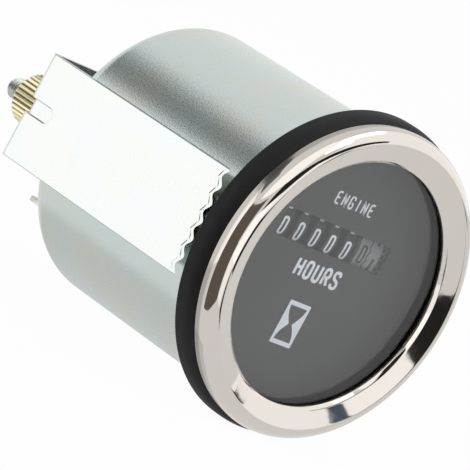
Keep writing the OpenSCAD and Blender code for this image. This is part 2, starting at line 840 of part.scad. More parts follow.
// Wavy line of gaps between the rounded teeth, in the rear and up plane
module tooth_gaps() {
    wave = [for (i = [0 : tooth_count * tooth_steps])
        let (z = (i / tooth_steps - tooth_count / 2) * tooth_pitch)
        [leg_front + tooth_h / 2 * (1 - cos(360 * z / tooth_pitch + 180 * tooth_count)), z]];
    polygon(concat([[leg_front - 1, -bracket_w / 2 - 1], [leg_front, -bracket_w / 2 - 1]], wave,
        [[leg_front, bracket_w / 2 + 1], [leg_front - 1, bracket_w / 2 + 1]]));
}

// Round-ended field that a bead takes up, from the leg over the bend
module bead_field(side, w) {
    x0 = side > 0 ? leg_out - bead_into_web : -leg_out - 1;
    translate([x0, bead_end, -w / 2]) cube([bead_into_web + 1, web_rear - bead_end + 1, w]);
    on_shaft([bead_end, 0], x0) cylinder(h = bead_into_web + 1, r = w / 2);
}

// Brass thumb nut with straight knurling and a chamfer at each end
module thumb_nut(side) {
    half_pitch = 180 / knurl_count;
    outline = [for (i = [0 : 2 * knurl_count - 1])
        let (r = nut_d / 2 - (i % 2) * knurl_h) r * [cos(i * half_pitch), sin(i * half_pitch)]];
    color("#c6a55c")
        on_axis(side * stud_pitch / 2, web_rear + 0.1, 0)
            difference() {
                intersection() {
                    linear_extrude(nut_h) polygon(outline);
                    rotate_extrude()
                        polygon([[0, 0], [nut_d / 2 - nut_chamfer, 0], [nut_d / 2 + eps, nut_chamfer + eps],
                            [nut_d / 2 + eps, nut_h - nut_chamfer - eps], [nut_d / 2 - nut_chamfer, nut_h],
                            [0, nut_h]]);
                }
                translate([0, 0, -eps]) cylinder(h = nut_h + 2 * eps, r = stud_r + 2 * run);
            }
}

// Black drum k, counted from the units drum: rim, web, input ring, hub and carry disc
module number_drum(k) {
    x = units_x - k * drum_pitch - rim_w / 2;
    color("#1d1e1e")
        difference() {
            union() {
                ring_x(drum_axis, x, rim_w, drum_r, drum_r - drum_rim);
                on_shaft(drum_axis, x + rim_w - drum_rim) cylinder(h = drum_rim, r = drum_r - eps);
                gear_x(drum_axis, x + rim_w - eps, ring_w + eps, ring_teeth, register_module,
                    transfer_slack, 0, true, ring_tip);
                on_shaft(drum_axis, x - carry_w) cylinder(h = drum_pitch - hub_gap, r = hub_r);
                carry_disc(x);
            }
            on_shaft(drum_axis, x - carry_w - 1) cylinder(h = drum_pitch + 2, r = shaft_r + run);
        }
}

// Disc on a drum's left side, with the gap that lets the next pinion turn at a carry
module carry_disc(x) {
    gap_w = 1.6;
    gap_h = 1.1;
    difference() {
        on_shaft(drum_axis, x - carry_w) cylinder(h = carry_w, r = carry_r);
        translate([x - carry_w - 1, drum_axis[0] - gap_w / 2, drum_z + carry_r - gap_h])
            cube([carry_w + 2, gap_w, gap_h + 1]);
    }
}

// White tenths drum with its drive gear on the right
module tenths_drum() {
    color("#e9ebea")
        difference() {
            union() {
                ring_x(drum_axis, tenths_left, tenths_w, drum_r, drum_r - drum_rim);
                on_shaft(drum_axis, tenths_right - drum_rim) cylinder(h = drum_rim, r = drum_r - eps);
                on_shaft(drum_axis, tenths_left - carry_w)
                    cylinder(h = drums_right - tenths_left + carry_w, r = hub_r);
                on_shaft(drum_axis, tenths_right - eps) cylinder(h = drive_boss + 2 * eps, r = drum_r - 2);
                gear_x(drum_axis, tenths_right + drive_boss, drive_w, drive_teeth, train_module,
                    train_slack, drive_a, true, train_module);
                carry_disc(tenths_left);
            }
            on_shaft(drum_axis, tenths_left - carry_w - 1)
                cylinder(h = drums_right - tenths_left + 3, r = shaft_r + run);
        }
}

// Transfer pinion k: eight teeth at the input ring, every second one cut short at the carry disc
module transfer_pinion(k) {
    x = units_x - (k - 1) * drum_pitch + rim_w / 2 + 0.1;
    short_w = 0.5;
    color("#d8d4c4")
        on_shaft(transfer_axis, x)
            difference() {
                union() {
                    linear_extrude(transfer_w - short_w) transfer_outline(1);
                    linear_extrude(transfer_w) transfer_outline(2);
                }
                translate([0, 0, -1]) cylinder(h = transfer_w + 2, r = pinion_shaft_r + run);
            }
}

// Teeth of a transfer pinion, all of them or every second one, with a gap towards the drum
module transfer_outline(pick) {
    gap = 270 + 180 / transfer_teeth;
    gear_outline(transfer_teeth, register_module, transfer_slack, gap, register_module, pick);
}

// Wheel that drives the tenths drum: pinion inside the cheek, wheel outside it
module second_wheel() {
    pinion_x = tenths_right + drive_boss + 0.1;
    pinion_w = drive_w - 0.2;
    color("#d9b45c") {
        gear_x(second_axis, pinion_x, pinion_w, pinion_teeth, train_module, train_slack,
            drive_a + 180, false, train_module);
        gear_x(second_axis, second_x, wheel_w, wheel_teeth, train_module, train_slack,
            middle_a, true, train_module);
        on_shaft(second_axis, pinion_x - shoulder_gap) cylinder(h = bridge_x - pinion_x, r = arbor_r);
        on_shaft(second_axis, bridge_x - 1) cylinder(h = bridge_t + 1, r = pivot_r);
    }
}

// Wheel between the motor and the second wheel
module first_wheel() {
    color("#d9b45c") {
        gear_x(first_axis, second_x - 0.1, wheel_w + 0.2, pinion_teeth, train_module, train_slack,
            middle_a + 180, false, train_module);
        gear_x(first_axis, first_x, wheel_w, wheel_teeth, train_module, train_slack,
            motor_a, true, train_module);
        on_shaft(first_axis, cheek_out + shoulder_gap)
            cylinder(h = bridge_x - cheek_out - 2 * shoulder_gap, r = arbor_r);
        on_shaft(first_axis, cheek_right) cylinder(h = bridge_out - cheek_right, r = pivot_r);
    }
}

// Rotor arbor with the motor pinion
module rotor_arbor() {
    start = stator_mid - magnet_w / 2 - 0.4;
    color("#c9ccca") {
        gear_x(rotor_axis, first_x - 0.1, wheel_w + 0.2, pinion_teeth, train_module, train_slack,
            motor_a + 180, false, train_module);
        on_shaft(rotor_axis, start) cylinder(h = bridge_x - shoulder_gap - start, r = rotor_r);
        on_shaft(rotor_axis, bridge_x - 1) cylinder(h = bridge_t + 1, r = pivot_r);
    }
}

// Ring magnet pressed on the rotor arbor inside the stator's hole
module rotor_magnet() {
    color("#3a3d40")
        ring_x(rotor_axis, stator_mid - magnet_w / 2, magnet_w, magnet_r, rotor_r);
}

case();
bezel();
lens();
lens_seal();
spacer_ring();
dial();
panel_gasket();
mounting_studs();
blade_terminal(-1);  // terminal_positive
blade_terminal(1);  // terminal_negative
insulator(-1);  // insulator_left
insulator(1);  // insulator_right
movement_frame();
register_shaft();
pinion_shaft();
train_bridge();
bridge_screws();
stator();
coil_bobbin();
coil_winding();
coil_pins();
circuit_board();
quartz_crystal();
timer_chip();
capacitor();
bracket();
thumb_nut(-1);  // thumb_nut_left
thumb_nut(1);  // thumb_nut_right
tenths_drum();
number_drum(0);  // units_drum
number_drum(1);  // tens_drum
number_drum(2);  // hundreds_drum
number_drum(3);  // thousands_drum
number_drum(4);  // ten_thousands_drum
transfer_pinion(1);  // transfer_pinion_1
transfer_pinion(2);  // transfer_pinion_2
transfer_pinion(3);  // transfer_pinion_3
transfer_pinion(4);  // transfer_pinion_4
transfer_pinion(5);  // transfer_pinion_5
second_wheel();
first_wheel();
rotor_arbor();
rotor_magnet();
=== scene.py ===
import math

import bmesh
import bpy
from mathutils import Matrix, Vector


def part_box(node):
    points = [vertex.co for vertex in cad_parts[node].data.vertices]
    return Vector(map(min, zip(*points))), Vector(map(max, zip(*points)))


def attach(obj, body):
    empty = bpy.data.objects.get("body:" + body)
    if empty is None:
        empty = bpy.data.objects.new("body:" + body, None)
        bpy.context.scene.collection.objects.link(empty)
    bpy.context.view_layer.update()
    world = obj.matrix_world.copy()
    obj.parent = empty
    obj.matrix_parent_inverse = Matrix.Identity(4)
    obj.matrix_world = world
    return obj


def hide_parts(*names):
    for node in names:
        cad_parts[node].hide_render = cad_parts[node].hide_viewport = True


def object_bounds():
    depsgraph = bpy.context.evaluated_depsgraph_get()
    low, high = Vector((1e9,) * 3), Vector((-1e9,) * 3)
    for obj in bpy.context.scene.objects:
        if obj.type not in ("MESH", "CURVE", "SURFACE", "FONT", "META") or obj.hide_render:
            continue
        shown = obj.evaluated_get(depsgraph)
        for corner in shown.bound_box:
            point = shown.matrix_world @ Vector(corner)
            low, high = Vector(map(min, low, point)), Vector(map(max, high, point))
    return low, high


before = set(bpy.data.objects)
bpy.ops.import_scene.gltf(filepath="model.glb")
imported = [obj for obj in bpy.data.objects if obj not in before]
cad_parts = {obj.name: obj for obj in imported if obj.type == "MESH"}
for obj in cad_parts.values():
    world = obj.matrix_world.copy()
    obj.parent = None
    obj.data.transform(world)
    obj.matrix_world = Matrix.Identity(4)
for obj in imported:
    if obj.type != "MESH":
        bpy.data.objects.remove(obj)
cad_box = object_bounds()


# Case: a can drawn from thin steel sheet, with a flange turned out in front and a floor behind.
# It is bright zinc-plated. The plating is finely spangled, bluish with a trace of straw, and
# softly clouded where it was dipped.
MM = 0.001


class Wire:
    """A socket of a finish's node tree. Arithmetic on it adds Math nodes."""

    def __init__(self, tree, socket=None):
        self.tree, self.socket = tree, socket

    def feed(self, socket, value):
        """Links a wire to a socket, or sets the socket to a plain value."""
        if isinstance(value, Wire):
            self.tree.links.new(value.socket, socket)
        else:
            socket.default_value = value

    def node(self, kind, settings=None, inputs=None, out=0):
        """Adds a node of a kind: its settings first, then its sockets' values or links."""
        made = self.tree.nodes.new(kind)
        for name, value in (settings or {}).items():
            setattr(made, name, value)
        for key, value in (inputs or {}).items():
            self.feed(made.inputs[key], value)
        return Wire(self.tree, made.outputs[out])

    def sibling(self, out):
        """Another output of the node that this wire comes from."""
        return Wire(self.tree, self.socket.node.outputs[out])

    def math(self, operation, first, second):
        return self.node("ShaderNodeMath", {"operation": operation}, {0: first, 1: second})

    def __add__(self, other):
        return self.math("ADD", self, other)

    def __radd__(self, other):
        return self.math("ADD", other, self)

    def __sub__(self, other):
        return self.math("SUBTRACT", self, other)

    def __rsub__(self, other):
        return self.math("SUBTRACT", other, self)

    def __mul__(self, other):
        return self.math("MULTIPLY", self, other)

    def __rmul__(self, other):
        return self.math("MULTIPLY", other, self)


def shade(red, green, blue):
    """A colour as it looks on a screen, 0 to 255, as the light values that a shader takes."""
    parts = [part / 255 for part in (red, green, blue)]
    return [p / 12.92 if p < 0.04045 else ((p + 0.055) / 1.055) ** 2.4 for p in parts] + [1.0]


def grain(place, size, detail=2.0, stretch=(1, 1, 1)):
    """Noise from 0 to 1 over a surface, in grains of a size in millimetres."""
    scaled = place.node("ShaderNodeVectorMath", {"operation": "MULTIPLY"},
                        {0: place, 1: [s / (size * MM) for s in stretch]})
    return place.node("ShaderNodeTexNoise", None,
                      {"Vector": scaled, "Scale": 1.0, "Detail": detail})


def ease(value, low, high):
    """Rises smoothly from 0 at low to 1 at high."""
    return value.node("ShaderNodeMapRange", {"interpolation_type": "SMOOTHSTEP"},
                      {0: value, 1: low, 2: high})


def tint(share, low, high):
    """A colour between two, by a share from 0 to 1."""
    return share.node("ShaderNodeMix", {"data_type": "RGBA"}, {0: share, 6: low, 7: high}, 2)


def relief(height, depth, under=None):
    """A surface that rises by a depth in millimetres where the height is 1."""
    inputs = {"Height": height, "Distance": depth * MM}
    if under:
        inputs["Normal"] = under
    return height.node("ShaderNodeBump", None, inputs)


def finish(name, recipe):
    """A material whose shader takes the sockets that a recipe gives for a place on the part."""
    material = bpy.data.materials.new(name)
    material.use_nodes = True
    tree = material.node_tree
    place = Wire(tree).node("ShaderNodeTexCoord", out="Object")
    for socket, value in recipe(place).items():
        place.feed(tree.nodes["Principled BSDF"].inputs[socket], value)
    return material


def dress(material, slot, *nodes):
    """Gives solids of the frame a finish. The slot is not used."""
    for node in nodes:
        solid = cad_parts[node]
        solid.data.materials.clear()
        solid.data.materials.append(material)


def zinc_plate(place):
    spangle = grain(place, 0.32, 2)
    return {
        "Base Color": tint(ease(grain(place, 13), 0.36, 0.66), shade(196, 206, 204),
                           shade(200, 205, 197)),
        "Metallic": 1.0,
        "Roughness": 0.2 + 0.12 * spangle,
        "Normal": relief(spangle, 0.017),
    }


dress(finish("zinc_plate", zinc_plate), "zinc_plate", "case")


# Studs: two steel studs with a flat head, pressed through the case's floor from inside.
# They are zinc-plated, with a rolled metric thread and a rounded tip.
stud_low, stud_high = (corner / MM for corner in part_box("mounting_studs"))
STUD_R, STUD_HEAD_R, STUD_HEAD_T = 2.0, 2.4, 1.5
THREAD_PITCH, THREAD_DEPTH = 0.7, 0.38
FLANK_SLOPE, CREST_FLAT = 1.25, 0.06
STUD_AT = stud_high.x - STUD_HEAD_R
TIP_ROUND = 0.75
TURN_STEPS, PITCH_STEPS = 56, 12
SHARP_SHADE = 35


def finished_mesh(mesh):
    """Turns the faces outwards and shades them smooth, except across sharp edges."""
    work = bmesh.new()
    work.from_mesh(mesh)
    bmesh.ops.remove_doubles(work, verts=work.verts, dist=1e-7)
    bmesh.ops.recalc_face_normals(work, faces=work.faces)
    work.to_mesh(mesh)
    work.free()
    mesh.polygons.foreach_set("use_smooth", [True] * len(mesh.polygons))
    mesh.set_sharp_from_angle(angle=math.radians(SHARP_SHADE))
    return mesh


def skinned(name, rings, joined=True):
    """A mesh over closed rings of points in millimetres. The last ring joins the first, or both
    are filled as end faces."""
    count = len(rings[0])
    points = [Vector(point) * MM for ring in rings for point in ring]
    faces = []
    for ring in range(len(rings) if joined else len(rings) - 1):
        here, there = ring * count, (ring + 1) % len(rings) * count
        faces += [(here + i, here + (i + 1) % count, there + (i + 1) % count, there + i)
                  for i in range(count)]
    if not joined:
        faces += [range(count), range(len(points) - count, len(points))]
    mesh = bpy.data.meshes.new(name)
    mesh.from_pydata(points, [], [tuple(face) for face in faces])
    return finished_mesh(mesh)


def fitted(mesh, material, body, slot=None, *nodes):
    """A modelled piece on the part: its finish, the body it rides and the solids it stands for."""
    piece = bpy.data.objects.new(mesh.name, mesh)
    bpy.context.scene.collection.objects.link(piece)
    mesh.materials.append(material)
    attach(piece, body)
    if nodes:
        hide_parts(*nodes)
    return piece


def stud_radius(y, turn):
    """The thread's radius at a height along the stud and a part of a turn round it."""
    phase = (y / THREAD_PITCH - turn) % 1
    flank = min(1, max(0, FLANK_SLOPE * abs(2 * phase - 1) - CREST_FLAT))
    to_tip = max(0, TIP_ROUND - (stud_high.y - y))
    rounded = STUD_R - TIP_ROUND + math.sqrt(TIP_ROUND ** 2 - to_tip ** 2)
    return min(STUD_R - THREAD_DEPTH * flank, rounded)


def stud_rings(x):
    """Rings of points of a stud at a distance from the meter's axis: its head, then its thread."""
    turns = [i / TURN_STEPS for i in range(TURN_STEPS)]
    floor = stud_low.y + STUD_HEAD_T
    lengths = int((stud_high.y - floor) / THREAD_PITCH * PITCH_STEPS)
    spots = [(stud_low.y, lambda y, t: STUD_HEAD_R), (floor, lambda y, t: STUD_HEAD_R)]
    spots += [(floor + (stud_high.y - floor) * i / lengths, stud_radius)
              for i in range(lengths + 1)]
    return [[(x + radius(y, t) * math.cos(math.tau * t), y, radius(y, t) * math.sin(math.tau * t))
             for t in turns] for y, radius in spots]


def stud_steel(place):
    worn = grain(place, 0.5, 3)
    return {
        "Base Color": tint(worn, shade(170, 173, 168), shade(208, 210, 204)),
        "Metallic": 1.0,
        "Roughness": 0.26 + 0.14 * worn,
        "Normal": relief(grain(place, 0.12, 1), 0.002),
    }


steel_stud = finish("stud_steel", stud_steel)
for name, x in (("stud_left", -STUD_AT), ("stud_right", STUD_AT)):
    fitted(skinned(name, stud_rings(x), joined=False), steel_stud, "meter", "stud_steel",
           "mounting_studs")


# Terminals: two blades stamped from tinned brass strip, with a small hole and a narrowed tip.
# Each stands in a moulded insulator that is snapped into the case's floor.
BLADE_EDGE, INSULATOR_EDGE = 0.09, 0.25
SHARP_BEND = 38


def sharp_edges(work):
    return [edge for edge in work.edges
            if len(edge.link_faces) == 2 and edge.calc_face_angle() > math.radians(SHARP_BEND)]


def round_off(work, edges, width, parts, clamped=True):
    bmesh.ops.bevel(work, geom=edges, offset=width * MM, offset_type="OFFSET", segments=parts,
                    profile=0.5, affect="EDGES", clamp_overlap=clamped)


def softened(node, name, width, form=None):
    """A copy of a solid with its sharp edges rounded to a width in millimetres. A form may work
    on its bare faces first."""
    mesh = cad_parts[node].data.copy()
    mesh.name = name
    mesh.materials.clear()
    work = bmesh.new()
    work.from_mesh(mesh)
    bmesh.ops.remove_doubles(work, verts=work.verts, dist=2e-6)
    bmesh.ops.dissolve_limit(work, angle_limit=math.radians(1), verts=work.verts,
                             edges=work.edges)
    if form:
        form(work)
    round_off(work, sharp_edges(work), width, 3)
    work.to_mesh(mesh)
    work.free()
    if "custom_normal" in mesh.attributes:
        mesh.attributes.remove(mesh.attributes["custom_normal"])
    return finished_mesh(mesh)


def evened(piece):
    """Holds the flats of a softened piece flat up to their rounded edges."""
    even = piece.modifiers.new("even_flats", "WEIGHTED_NORMAL")
    even.keep_sharp = True
    return piece


def tinned_brass(place):
    streak = grain(place, 0.5, 3, stretch=(1, 0.15, 1))
    darkening = grain(place, 2.2, 2)
    return {
        "Base Color": tint(ease(darkening, 0.4, 0.7), shade(205, 202, 190), shade(178, 176, 164)),
        "Metallic": 1.0,
        "Roughness": 0.3 + 0.2 * streak,
        "Normal": relief(streak, 0.003),
    }


def moulded(colour, speck, rough):
    """A recipe for a moulded plastic: a colour and its paler specks, and a fine eroded skin."""
    def recipe(place):
        skin = grain(place, 0.18, 2)
        return {
            "Base Color": tint(ease(grain(place, 1.6, 3), 0.3, 0.75), colour, speck),
            "Roughness": rough + 0.15 * skin,
            "Normal": relief(skin, 0.004),
        }
    return recipe


tinned = finish("tinned_blade", tinned_brass)
dress(tinned, "tinned_blade", "coil_pins")
insulation = finish("insulator_plastic", moulded(shade(30, 29, 28), shade(42, 41, 39), 0.42))
for side, pole in (("left", "positive"), ("right", "negative")):
    evened(fitted(softened(f"insulator_{side}", f"insulator_{side}_moulding", INSULATOR_EDGE),
                  insulation, "meter", "insulator_plastic", f"insulator_{side}"))
    evened(fitted(softened(f"terminal_{pole}", f"terminal_{pole}_blade", BLADE_EDGE),
                  tinned, "meter", "tinned_blade", f"terminal_{pole}"))


# Movement frame: one moulding of pale acetal with a front plate, two cheeks, posts and pillars.
# The drum and pinion shafts are ground steel rods pressed through the cheeks.
def ground_steel(place):
    turned_marks = grain(place, 0.25, 2, stretch=(4, 1, 1))
    return {
        "Base Color": tint(turned_marks, shade(170, 172, 174), shade(208, 210, 212)),
        "Metallic": 1.0,
        "Roughness": 0.16 + 0.14 * turned_marks,
        "Normal": relief(turned_marks, 0.001),
    }


acetal = finish("frame_plastic", moulded(shade(206, 204, 196), shade(218, 217, 210), 0.45))
dress(acetal, "frame_plastic", "movement_frame")
dress(finish("shaft_steel", ground_steel), "shaft_steel",
      "register_shaft", "pinion_shaft", "rotor_arbor")


# Motor: a stamped stator of soft iron with a coil of lacquered copper wire on a moulded bobbin.
# The rotor is a moulded ferrite magnet on a steel arbor with a cut pinion.
WIRE_PITCH = 0.16


def lacquered_copper(place):
    along = place.node("ShaderNodeSeparateXYZ", None, {0: place}, "Y")
    # Painted shade and painted highlight: each turn of wire is coloured dark where it meets the
    # next and bright on its crest.
    turns = place.math("SINE", along * (math.tau / (WIRE_PITCH * MM)), 0.0) * 0.5 + 0.5
    wander = grain(place, 1.2, 2)
    return {
        "Base Color": tint(turns * 0.7 + wander * 0.3, shade(120, 52, 22), shade(205, 120, 66)),
        "Metallic": 0.8,
        "Roughness": 0.3 + 0.15 * wander,
        "Normal": relief(turns, 0.05),
    }


def annealed_iron(place):
    rolled = grain(place, 0.6, 3, stretch=(1, 1, 0.2))
    return {
        "Base Color": tint(rolled, shade(112, 113, 116), shade(148, 148, 150)),
        "Metallic": 1.0,
        "Roughness": 0.4 + 0.2 * rolled,
        "Normal": relief(rolled, 0.004),
    }


dress(finish("stator_iron", annealed_iron), "stator_iron", "stator")
dress(finish("bobbin_plastic", moulded(shade(196, 190, 172), shade(212, 207, 190), 0.4)),
      "bobbin_plastic", "coil_bobbin")
dress(finish("copper_wire", lacquered_copper), "copper_wire", "coil_winding")
dress(finish("magnet_ferrite", moulded(shade(46, 45, 47), shade(66, 65, 66), 0.5)),
      "magnet_ferrite", "rotor_magnet")


# Train: hobbed brass wheels between the right cheek and a stamped brass bridge.
# Three slotted steel screws hold the bridge on its posts.
def rolled_brass(place):
    brushed = grain(place, 0.3, 3, stretch=(1, 0.2, 1))
    stain = grain(place, 5)
    return {
        "Base Color": tint(ease(stain, 0.35, 0.7), shade(220, 190, 112), shade(198, 166, 92)),
        "Metallic": 1.0,
        "Roughness": 0.22 + 0.18 * brushed,
        "Normal": relief(brushed, 0.002),
    }


dress(finish("train_brass", rolled_brass), "train_brass",
      "train_bridge", "second_wheel", "first_wheel")
dress(finish("screw_steel", ground_steel), "screw_steel", "bridge_screws")


# Board: a fibre laminate with the timer chip, the crystal's drawn can and a sleeved capacitor.
# It stands on edge behind the motor, and the coil's pins are soldered through it.
def green_laminate(place):
    weave = grain(place, 0.5, 2, stretch=(1, 1, 3))
    tracks = ease(grain(place, 2.6, 0.5), 0.5, 0.53)
    return {
        "Base Color": tint(tracks, shade(38, 78, 50), shade(58, 104, 62)),
        "Roughness": 0.32 + 0.12 * weave,
        "Normal": relief(tracks, 0.03, relief(weave, 0.006)),
    }


def drawn_can(place):
    scuff = grain(place, 0.35, 3, stretch=(0.3, 1, 1))
    return {
        "Base Color": tint(scuff, shade(186, 188, 190), shade(216, 217, 216)),
        "Metallic": 1.0,
        "Roughness": 0.18 + 0.18 * scuff,
        "Normal": relief(scuff, 0.002),
    }


dress(finish("board_laminate", green_laminate), "board_laminate", "circuit_board")
dress(finish("crystal_can", drawn_can), "crystal_can", "quartz_crystal")
dress(finish("chip_black", moulded(shade(28, 28, 29), shade(40, 40, 41), 0.55)),
      "chip_black", "timer_chip")
dress(finish("capacitor_sleeve", moulded(shade(34, 44, 74), shade(42, 53, 86), 0.3)),
      "capacitor_sleeve", "capacitor")


# Drums: five black moulded drums and a white one for tenths, with transfer pinions behind them.
# The figures are pad-printed round each rim, ten to a turn, white on black and dark on white.
DRUMS = ("units", "tens", "hundreds", "thousands", "ten_thousands")
FIGURE_H, FIGURE_W, FIGURE_LINE, FIGURE_DROP = 3.45, 1.45, 0.46, 0.5
RIM_FROM_LEFT = 1.9
TENTHS_FIGURE_X, TENTHS_SCALE_X, TENTHS_BAR_X = 7.85, 9.2, 10.9
SCALE_SWING, SCALE_LINE, SCALE_STEPS, BAR_LINE = 0.22, 0.22, 6, 0.6
INK_RISE = 0.02
STROKES = {
    "0": [[(0, 0.5), (0, 0), (1, 0), (1, 1), (0, 1), (0, 0.5)]],
    "1": [[(0.15, 0.8), (0.5, 1), (0.5, 0)]],
    "2": [[(0, 0.75), (0, 1), (1, 1), (1, 0.56), (0, 0.22), (0, 0), (1, 0)]],
    "3": [[(0, 1), (1, 1), (1, 0), (0, 0)], [(0.25, 0.53), (0.95, 0.53)]],
    "4": [[(0.75, 0), (0.75, 1), (0, 0.3), (1.05, 0.3)]],
    "5": [[(1, 1), (0, 1), (0, 0.57), (1, 0.57), (1, 0), (0, 0)]],
    "6": [[(1, 1), (0, 1), (0, 0), (1, 0), (1, 0.55), (0.1, 0.55)]],
    "7": [[(0, 1), (1, 1), (0.35, 0)]],
    "8": [[(0, 0.5), (0, 0), (1, 0), (1, 1), (0, 1), (0, 0.5)], [(0.1, 0.53), (0.9, 0.53)]],
    "9": [[(0, 0), (1, 0), (1, 1), (0, 1), (0, 0.45), (0.9, 0.45)]],
}


def rounded_line(points, radius, parts=6):
    """A line whose corners are eased by curves that start a radius away from them."""
    eased = [Vector(points[0])]
    for before, corner, after in zip(points, points[1:], points[2:]):
        before, corner, after = Vector(before), Vector(corner), Vector(after)
        back, on = before - corner, after - corner
        start = corner + back.normalized() * min(radius, back.length * 0.49)
        end = corner + on.normalized() * min(radius, on.length * 0.49)
        for i in range(parts + 1):
            t = i / parts
            eased.append(start * (1 - t) ** 2 + corner * (2 * t * (1 - t)) + end * t ** 2)
    return eased + [Vector(points[-1])]


def ink_skin(work, rows):
    """Joins rows of four points, low and high on either side, to the skin of a print."""
    for a, b in zip(rows, rows[1:]):
        for i, j in ((0, 1), (1, 3), (3, 2), (2, 0)):
            work.faces.new((a[i], a[j], b[j], b[i]))


def ink_line(work, corners, width, lay, rise, step=0.25):
    """A printed line on a surface. lay(x, z, rise) gives the place of a point of the print."""
    points = [corners[0]]
    for a, b in zip(corners, corners[1:]):
        parts = math.ceil((b - a).length / step)
        points += [a.lerp(b, (i + 1) / parts) for i in range(parts)]
    sides = []
    for i, point in enumerate(points):
        near = points[max(0, i - 1):i + 2]
        ways = [(b - a).normalized() for a, b in zip(near, near[1:])]
        if (points[0] - points[-1]).length < 1e-6 and i in (0, len(points) - 1):
            ways = [(points[1] - points[0]).normalized(), (points[-1] - points[-2]).normalized()]
        way = sum(ways, Vector((0, 0))).normalized()
        spread = width / 2 / max(0.5, way.dot(ways[0]))
        across = Vector((-way.y, way.x)) * spread
        sides.append([work.verts.new(lay(spot.x, spot.y, high) * MM)
                      for spot in (point - across, point + across) for high in (0, rise)])
    ink_skin(work, sides)
    for end in (sides[0], sides[-1]):
        work.faces.new((end[0], end[1], end[3], end[2]))


def ink_word(work, word, strokes, size, line, gap, centre, lay, corner=0.4):
    """Prints a word with its middle at a centre. size is a letter's width and height."""
    step = size[0] + gap
    left = centre[0] - (step * (len(word) - 1)) / 2
    for place, letter in enumerate(word):
        for layer, stroke in enumerate(strokes[letter]):
            spots = [(left + step * place + (x - 0.5) * (size[0] - line),
                      centre[1] + (z - 0.5) * (size[1] - line)) for x, z in stroke]
            ink_line(work, rounded_line(spots, corner), line, lay, INK_RISE * (1 + 0.05 * layer))


def ink_mesh(name, work):
    mesh = bpy.data.meshes.new(name)
    work.to_mesh(mesh)
    work.free()
    return finished_mesh(mesh)


def drum_lay(node):
    """Wraps a print round a drum: x along its shaft, z as the arc above the shaft's height."""
    low, high = (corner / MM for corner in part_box(node))
    middle, radius = (low + high) / 2, (high.z - low.z) / 2

    def lay(x, arc, rise):
        angle = arc / radius
        out = radius + rise
        return Vector((x, middle.y - out * math.cos(angle), middle.z + out * math.sin(angle)))
    return lay, math.tau * radius / 10


def ink(name, colour, worn):
    """A finish for printing ink: a colour, worn a little thin in places."""
    return finish(name, lambda place: {
        "Base Color": tint(ease(grain(place, 0.5, 4), 0.45, 0.8), colour, worn),
        "Roughness": 0.45 + 0.2 * grain(place, 0.2, 2),
    })


white_ink = ink("white_ink", shade(240, 246, 252), shade(222, 230, 238))
dark_ink = ink("dark_ink", shade(38, 39, 41), shade(60, 61, 63))
dress(finish("drum_black", moulded(shade(32, 33, 34), shade(42, 43, 44), 0.5)), "drum_black",
      *(f"{drum}_drum" for drum in DRUMS))
# The tenths drum is white; its finish is painted mid-grey, painted shade for its recess behind the
# window.
dress(finish("drum_white", moulded(shade(126, 127, 129), shade(138, 139, 141), 0.45)),
      "drum_white", "tenths_drum")
dress(finish("pinion_plastic", moulded(shade(190, 186, 170), shade(204, 200, 186), 0.4)),
      "pinion_plastic", *(f"transfer_pinion_{k}" for k in range(1, 6)))

for drum in DRUMS:
    lay, pitch = drum_lay(f"{drum}_drum")
    rim_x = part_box(f"{drum}_drum")[0].x / MM + RIM_FROM_LEFT
    work = bmesh.new()
    for figure in range(10):
        ink_word(work, str(figure), STROKES, (FIGURE_W, FIGURE_H), FIGURE_LINE, 0,
                 (rim_x, -figure * pitch - FIGURE_DROP), lay)
    fitted(ink_mesh(f"{drum}_figures", work), white_ink, drum)

lay, pitch = drum_lay("tenths_drum")
work = bmesh.new()
for figure in range(10):
    here = -figure * pitch
    ink_word(work, str(figure), STROKES, (FIGURE_W, FIGURE_H), FIGURE_LINE, 0,
             (TENTHS_FIGURE_X, here), lay)
    zigzag = [Vector((TENTHS_SCALE_X + SCALE_SWING * (-1) ** i,
                      here + pitch * (i / SCALE_STEPS - 0.5))) for i in range(SCALE_STEPS + 1)]
    ink_line(work, zigzag, SCALE_LINE, lay, INK_RISE)
    ink_line(work, [Vector((TENTHS_BAR_X, here)), Vector((TENTHS_BAR_X, here - pitch / 2))],
             BAR_LINE, lay, INK_RISE)
fitted(ink_mesh("tenths_figures", work), dark_ink, "tenths")


# Dial: a sheet of dark grey painted metal with the register's window cut through it.
# Its lettering and its hourglass are screen-printed in pale ink that stands just off the paint.
dial_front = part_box("dial")[0].y / MM
STROKES.update({
    "H": [[(0, 0), (0, 1)], [(1, 0), (1, 1)], [(0, 0.5), (1, 0.5)]],
    "O": [[(0, 0.5), (0, 0), (1, 0), (1, 1), (0, 1), (0, 0.5)]],
    "U": [[(0, 1), (0, 0), (1, 0), (1, 1)]],
    "R": [[(0, 0), (0, 1), (1, 1), (1, 0.46), (0, 0.46)], [(0.55, 0.46), (1, 0)]],
    "S": [[(1, 0.76), (1, 1), (0, 1), (0, 0.56), (1, 0.44), (1, 0), (0, 0), (0, 0.24)]],
    "E": [[(1, 1), (0, 1), (0, 0), (1, 0)], [(0, 0.52), (0.85, 0.52)]],
    "N": [[(0, 0), (0, 1), (0.02, 1), (0.98, 0), (1, 0), (1, 1)]],
    "G": [[(1, 0.74), (1, 1), (0, 1), (0, 0), (1, 0), (1, 0.46), (0.5, 0.46)]],
    "I": [[(0.5, 0), (0.5, 1)]],
})
PRINT_X = -0.6
UNIT_SIZE, UNIT_LINE, UNIT_GAP, UNIT_Z = (1.9, 3.5), 0.6, 0.44, -0.25
WORD_SIZE, WORD_LINE, WORD_GAP, WORD_Z = (1.25, 2.45), 0.36, 0.46, 13.0
GLASS_W, GLASS_H, GLASS_Z, GLASS_BAR = 5.26, 7.98, -9.9, 0.8
GLASS_NECK, GLASS_BULB, GLASS_STEPS = 0.41, 2.03, 16


def dial_lay(x, z, rise):
    return Vector((x, dial_front - rise, z))


